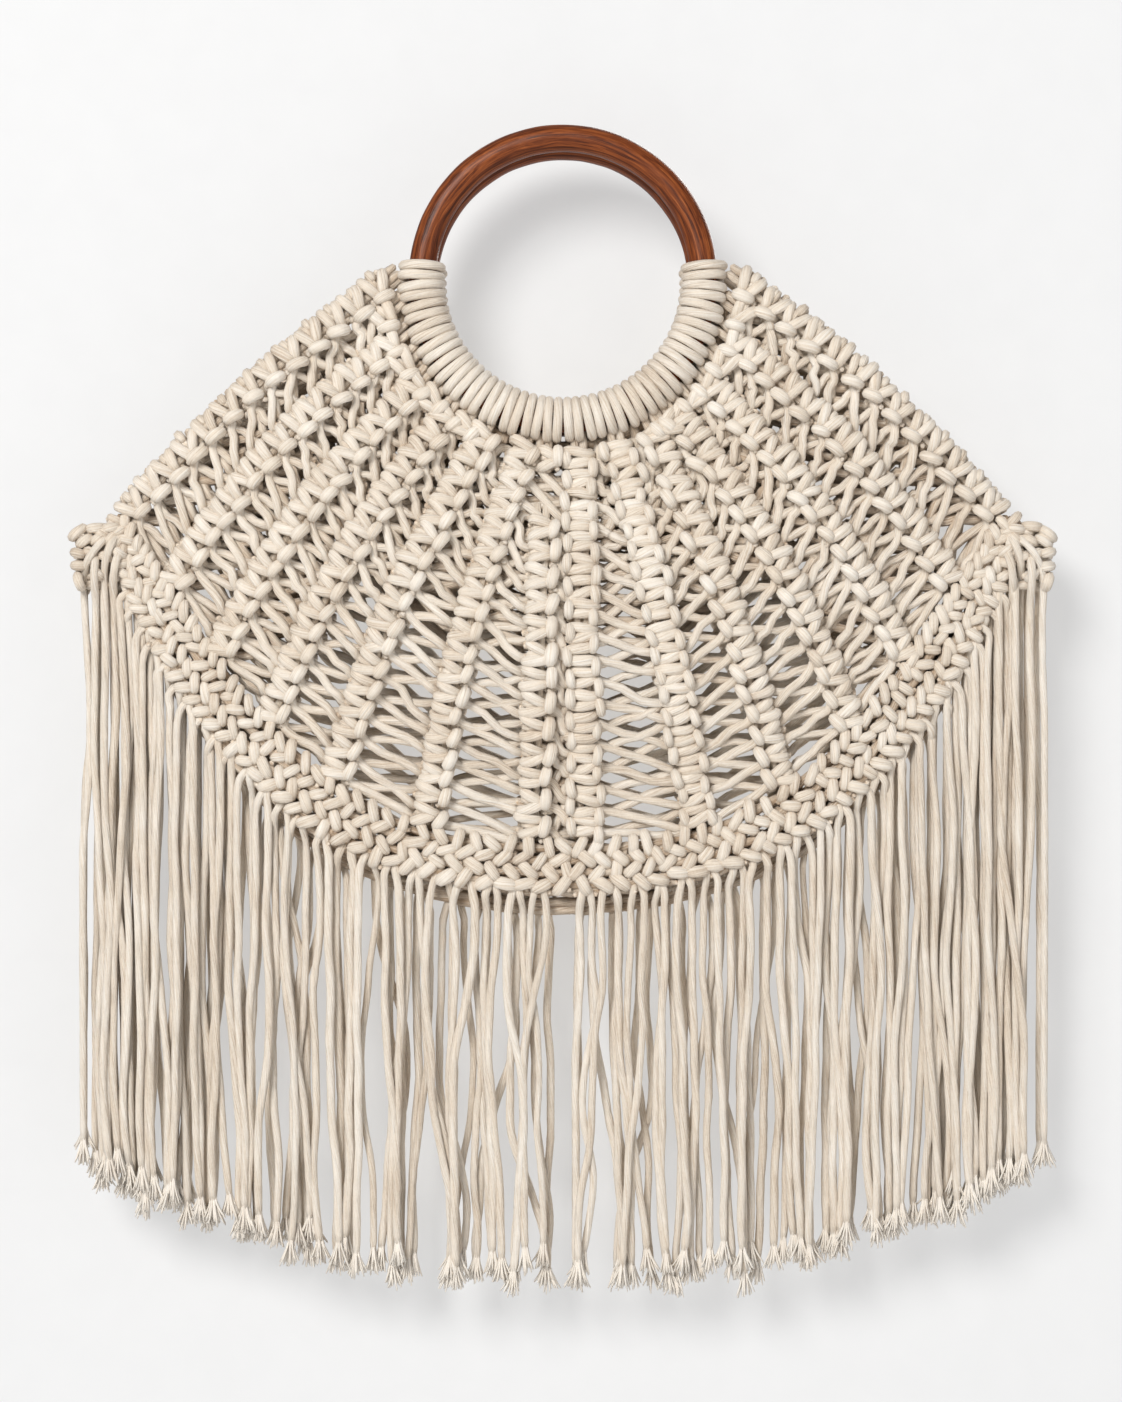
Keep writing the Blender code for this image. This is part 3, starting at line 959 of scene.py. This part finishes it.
# %% Corners
EAR_WRAPS = (
    # mm: level in front, level behind, outer reach, depth
    (-166.2, -166.5, 211.4, 5.6),
    (-170.4, -170.5, 215.4, 6.6),
    (-175.4, -174.4, 216.4, 7.0),
    (-180.4, -179.0, 216.0, 7.0),
    (-185.0, -184.2, 214.6, 6.4),
    (-189.2, -188.6, 212.8, 5.2),
)
EAR_BARS = (
    # mm, from and to: x, z
    (-215.0, -168.6, -210.4, -164.9),
    (-208.0, -164.6, -202.6, -164.2),
    (-200.6, -165.0, -195.6, -164.2),
    (-212.4, -172.2, -208.4, -169.4),
    (-206.6, -170.6, -202.8, -168.6),
    (-214.6, -175.6, -210.4, -176.6),
    (-208.4, -174.8, -205.0, -175.6),
    (-214.2, -181.2, -209.6, -181.6),
    (-212.8, -185.4, -211.4, -190.2),
    (-199.4, -171.6, -196.4, -167.8),
    (-202.6, -176.6, -198.6, -178.0),
    (-196.4, -174.0, -192.6, -176.4),
    (-206.0, -183.6, -203.4, -186.4),
)
# share of the way along a bar, and mm out from the middle of the bag
EAR_ARCH = ((0.05, 4.6), (0.0, 7.6), (0.3, 10.0), (0.7, 10.0), (1.0, 7.6), (0.95, 4.6))


def new_corner(name, sign):
    hank = Hank(sign + 50)
    chance = hank.chance
    turn = np.linspace(-1.35, 1.35, 13)
    wraps = []
    for front_z, back_z, out, deep in EAR_WRAPS:
        x = sign * (out - 2.3 - 13.5 * (1 - np.cos(turn))) * MM
        y = deep * np.sin(turn) * MM
        z = (front_z + (back_z - front_z) * (turn / 2.7 + 0.5)) * MM
        wraps.append(np.stack((x, y, z + chance.normal(0, 0.2) * MM), -1))
    # The wrapped cords get a lower tone than the bars over them, painted shade.
    hank.lay(np.array(wraps), 2.3 * MM, 8, -0.3)
    for face in (-1, 1):
        bars = []
        for x0, z0, x1, z1 in EAR_BARS:
            dx, dz = chance.normal(0, 0.4, 2)
            for_bar = []
            for f, depth in EAR_ARCH:
                x, z = x0 + (x1 - x0) * f + dx, z0 + (z1 - z0) * f + dz
                for_bar.append((-sign * x, face * depth, z))
            bars.append(for_bar)
        hank.lay(through(np.array(bars) * MM, 12), 2.25 * MM, 8, 0.1)
    return hang(hank.piece(name, cotton), name)


corners = [new_corner("left_corner", -1), new_corner("right_corner", 1)]

# %% [markdown]
# ## Fringe
#
# Below the band every cord hangs free. Two come out together from under an outer lobe of the band,
# bend over and part a little. The ears at the corners carry a few cords of their own.

# %% Where the fringe begins
# half the thickness of a cord in mm, and the gap between the two halves of the fringe
STRAND_THICK, PARTING = 1.75, 7.5 * MM
# Cords that start on the ears, in mm: start x and z, and the x at which they hang
EAR_STRANDS = (
    (-201.3, -170.1, -211.0),
    (-204.8, -178.8, -205.3),
    (-196.7, -169.5, -201.5),
    (-194.6, -176.0, -197.6),
)
# share of the way out, mm down and mm from the middle of the bag
EAR_BEND = ((-0.25, -3.0, 5.0), (0, 0, 10.6), (0.45, 5.0, 12.0), (0.8, 11.0, 10.0))


def hitch_angles(side):
    """Angles along the left half of the band where two cords leave it together."""
    angles, angle = [], -2.0
    while angle > -CORNER_ANGLE + 0.6:
        angles.append(angle)
        pitch = 9.2 + 1.8 * math.cos(math.radians(angle * 1.6))
        angle -= math.degrees(pitch * (1.0 if side is FRONT else 1.12) * MM / BAND_ARC)
    return np.array(angles)


def heads_of(side, chance):
    """The first marks of every cord, the place x where it hangs and the height where it does."""
    left = hitch_angles(side)
    angles = np.repeat(np.concatenate((left, -left)), 2)
    angles = angles + chance.normal(0, 0.2, len(angles))
    pair = np.where(np.arange(len(angles)) % 2, 1.0, -1.0)
    outward = unit(at(angles, 1.0) - at(0, 0))
    top = at(angles, outline(side, angles, 2) - 1.2 * MM)
    top[:, 0] += pair * 0.9 * MM
    x = top[:, 0] + outward[:, 0] * 2.4 * MM + pair * chance.uniform(1.2, 3.4, len(pair)) * MM
    steps = np.array((-5.0, -2.2, 1.0, 3.0)) * MM
    head = top[:, None] + outward[:, None] * steps[:, None]
    head[:, 2:, 0] += pair[:, None] * np.array((0.9, 1.7)) * MM
    head[:, 3, 2] -= 1.6 * MM
    head[..., 1] = side.sign * np.array((0.5, 3.6, 6.0, 5.6)) * MM
    head_z = head[:, 3, 2] - 6.0 * MM
    for sign in (-1, 1):
        for start_x, start_z, hang_x in np.array(EAR_STRANDS) * MM:
            start_x, hang_x = -sign * start_x, -sign * hang_x
            marks = []
            for share, drop, depth in EAR_BEND:
                here = start_x + (hang_x - start_x) * share
                marks.append((here, side.sign * depth * MM, start_z - drop * MM))
            head = np.concatenate((head, [marks]))
            x, head_z = np.append(x, hang_x), np.append(head_z, start_z - 19 * MM)
    return head, x, head_z


for side in (FRONT, BACK):
    print(side.name, "hitches in half the fringe:", len(hitch_angles(side)))

# %% [markdown]
# From there a cord falls straight, with the small waves that it kept from the hank. Neighbours of
# a few cords draw together, each from a height of its own, and the two halves of the fringe part
# at the middle. All tips end on one shallow curve, a little above the line of the plain solids,
# because the frayed ends come below them.

# %% How the cords fall
TIP_ROOM = 12.5 * MM


def fall_of(side, chance):
    """The path of every cord of one fringe, from under the band to its tip."""
    head, x, head_z = heads_of(side, chance)
    many = len(x)
    half_width = float(at(CORNER_ANGLE, outline(FRONT, CORNER_ANGLE, 2) + CORNER_REACH)[0])
    order = np.argsort(x)
    layer = np.empty(many)
    layer[order] = np.arange(many) % 3 - 1
    y = side.sign * (3.8 + layer * 2.2 + chance.normal(0, 0.4, many)) * MM
    middle = np.zeros(many)
    place = 0
    while place < many:
        size = chance.integers(2, 6)
        members = order[place : place + size]
        middle[members] = x[members].mean()
        place += size
    share = np.linspace(0, 1, 18)
    together = (middle - x) * chance.uniform(0.1, 1.2, many) * (np.abs(x) < 203 * MM)
    together = together + chance.normal(0, 1.2 * MM, many)
    drift = chance.normal(0, 3.4 * MM, many)
    phase = chance.uniform(0, 6.3, (4, many, 1))
    bend = chance.normal(0, 1.0, (2, many, 1))
    wave = np.sin(share * 5 + phase[0]) * bend[0] * 1.7
    wave = wave + np.sin(share * 12 + phase[1]) * bend[1] * 0.75
    wave = wave + np.sin(share * 27 + phase[3]) * 0.25
    soft = np.clip((share - chance.uniform(0, 0.55, (many, 1))) * 2.3, 0, 1)
    soft = soft * soft * (3 - 2 * soft)
    fall_x = x[:, None] + together[:, None] * soft + drift[:, None] * share**1.4
    fall_x = fall_x + wave * np.minimum(share * 4, 1) * MM
    low = (PARTING / 2 + STRAND_THICK * MM) * np.minimum(share * 3, 1)
    fall_x = np.sign(x)[:, None] * np.clip(np.sign(x)[:, None] * fall_x, low, half_width + 0.8 * MM)
    tip = RING_CENTRE_Z - FRINGE_REACH + FRINGE_RISE * np.abs(fall_x[:, -1] / half_width) ** 2.2
    tip = tip + TIP_ROOM + chance.normal(0, 3.0 * MM, many)
    fall_z = head_z[:, None] + (tip - head_z)[:, None] * share
    fall_y = y[:, None] + np.sin(share * 6 + phase[2]) * np.minimum(share * 3, 1) * 1.2 * MM
    return through(np.concatenate((head, np.stack((fall_x, fall_y, fall_z), -1)), 1), 44)


# %% [markdown]
# Cut cotton opens at its end. A rough cone would look solid from near by, so each tip gets fine
# threads of three sides that start inside the cord and spread.

# %% Fringe cords and their frayed tips
# how wide a tuft starts, and how far inside its cord
TUFT_WIDTH = 1.5 * MM


def new_strands(side):
    hank = Hank(side.seed + 4)
    chance = hank.chance
    paths = fall_of(side, chance)
    many, points = paths.shape[:2]
    lumps = 1 + chance.normal(0, 0.035, (many, points))
    radius = STRAND_THICK * MM * (1 + chance.normal(0, 0.05, (many, 1))) * lumps
    hank.lay(paths, radius, side.sides, 0.4, blunt=0.2)
    return paths, hang(hank.piece(side.name + "_strands", cotton), side.name + "_fringe")


def new_tufts(side, paths):
    hank = Hank(side.seed + 5)
    many = len(paths)
    chance, tufts = hank.chance, 2 * side.sides + 6
    tip_point = np.repeat(paths[:, -1], tufts, 0)
    drift = np.repeat(unit(paths[:, -1] - paths[:, -4]), tufts, 0)
    around = np.tile(np.arange(tufts) / tufts * 4 * math.pi, many)
    around = around + chance.normal(0, 0.3, many * tufts)
    spread = np.stack((np.cos(around), np.sin(around), 0 * around), -1)
    inside = np.tile(np.linspace(0.08, 1, tufts) ** 0.5, many)[:, None] * TUFT_WIDTH
    length = chance.uniform(8.5, 12.0, many * tufts)[:, None] * MM
    flare = inside * np.repeat(chance.uniform(1.2, 2.8, many), tufts)[:, None]
    curl = chance.normal(0, 0.65, (many * tufts, 3)) * MM
    s = np.array((0.0, 0.35, 0.7, 1.0))[None, :, None]
    fray = (
        tip_point[:, None]
        - drift[:, None] * TUFT_WIDTH
        + spread[:, None] * (inside[:, None] * (0.6 + 0.4 * s) + flare[:, None] * s**1.6)
        + drift[:, None] * length[:, None] * s
        + curl[:, None] * s**2
    )
    thick = chance.uniform(0.50, 0.80, (many * tufts, 1)) * np.array((1.2, 1.0, 0.95, 0.7)) * MM
    hank.lay(fray, thick, 3, 0.0)
    return hang(hank.piece(side.name + "_tufts", frayed), side.name + "_fringe")


for side in (FRONT, BACK):
    paths, strands = new_strands(side)
    tufts = new_tufts(side, paths)

# %% [markdown]
# ## Stage, light and camera
#
# The bag hangs in front of a plain white wall in soft daylight. The paper of the wall and floor
# glows a little, painted light that keeps the bag's shadow on the wall pale, and it shows its face
# only, so that the bag can also be looked at from behind. A pale floor lies below. A large lamp at
# the upper left front throws the soft shadow to the lower right, a weak one and a pale world fill
# the shade, and one lights the back.

# %% Wall and floor
paper = Finish("white_paper")
paper_speck = paper.noise(paper.node("ShaderNodeTexCoord", out=3), 60.0, 2.0)
paper_tone = paper.ramp(paper_speck, (0.3, (0.390, 0.392, 0.395)), (0.7, (0.400, 0.402, 0.405)))
# The paper glows evenly: painted light that keeps the bag's shadow on the wall pale. Its base
# colour is a mid grey, so that glow and lamps together make it white.
paper_shader = paper.node(
    "ShaderNodeBsdfPrincipled",
    Base_Color=paper_tone,
    Roughness=0.95,
    Specular_IOR_Level=0.1,
    Emission_Color=(1.0, 1.0, 1.0, 1.0),
    Emission_Strength=0.42,
)
see_through = paper.node("ShaderNodeBsdfTransparent")
behind = paper.node("ShaderNodeNewGeometry", out=6)
paper_mix = paper.node("ShaderNodeMixShader", _0=behind, _1=paper_shader, _2=see_through)
paper.node("ShaderNodeOutputMaterial", Surface=paper_mix)


def new_sheet(name, size, location, rotation):
    bpy.ops.object.select_all(action="DESELECT")
    bpy.ops.mesh.primitive_plane_add(size=size, location=location, rotation=rotation)
    sheet = bpy.context.object
    bpy.ops.object.transform_apply(location=True, rotation=True)
    sheet.name = name
    sheet.data.materials.append(paper.material)
    sheet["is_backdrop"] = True
    return sheet


wall = new_sheet("wall", 6.0, (0, 0.043, 0.3), (math.radians(90), 0, 0))
wall.visible_diffuse = wall.visible_glossy = wall.visible_transmission = wall.visible_shadow = False
ground = new_sheet("floor", 8.0, (0, 0, -0.62), (0, 0, 0))

# %% Light
world = bpy.data.worlds.new("daylight")
bpy.context.scene.world = world
world.use_nodes = True
sky = world.node_tree.nodes["Background"].inputs
sky["Color"].default_value, sky["Strength"].default_value = (0.98, 0.985, 1.0, 1.0), 0.30


def new_lamp(name, place, target, size, power, colour):
    lamp = bpy.data.lights.new(name, "AREA")
    lamp.shape, lamp.size, lamp.energy, lamp.color = "DISK", size, power, colour
    holder = bpy.data.objects.new(name, lamp)
    bpy.context.scene.collection.objects.link(holder)
    place, target = np.array(place), np.array(target)
    holder.location = place
    away = unit(place - target)
    holder.rotation_euler = (math.acos(away[2]), 0.0, math.atan2(away[1], away[0]) + math.pi / 2)


middle = (0.0, 0.0, -0.25)
new_lamp("window", (-1.10, -2.72, 1.12), middle, 1.25, 88.5, (1.0, 0.985, 0.96))
new_lamp("bounce", (1.6, -1.8, -0.1), middle, 2.0, 7.0, (0.97, 0.98, 1.0))
new_lamp("rear", (0.9, 2.0, 0.8), middle, 1.6, 34.0, (1.0, 0.99, 0.97))

# %% Camera
camera = bpy.data.cameras.new("camera")
camera.sensor_width, camera.lens = 36.0, 82.1
eye = bpy.data.objects.new("camera", camera)
bpy.context.scene.collection.objects.link(eye)
eye.location = (-0.0009, -1.41, -0.2403)
eye.rotation_euler = (math.radians(90), 0, 0)
bpy.context.scene.camera = eye
bpy.context.scene.view_settings.view_transform = "Standard"

# %% Print the size of the imported model and of the scene
visual_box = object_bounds()
sizes = {
    "cad": [[float(x) for x in corner] for corner in cad_box],
    "visual": [[float(x) for x in corner] for corner in visual_box],
}
for name, box in sizes.items():
    print(name, [[round(x * 1000, 1) for x in corner] for corner in box])
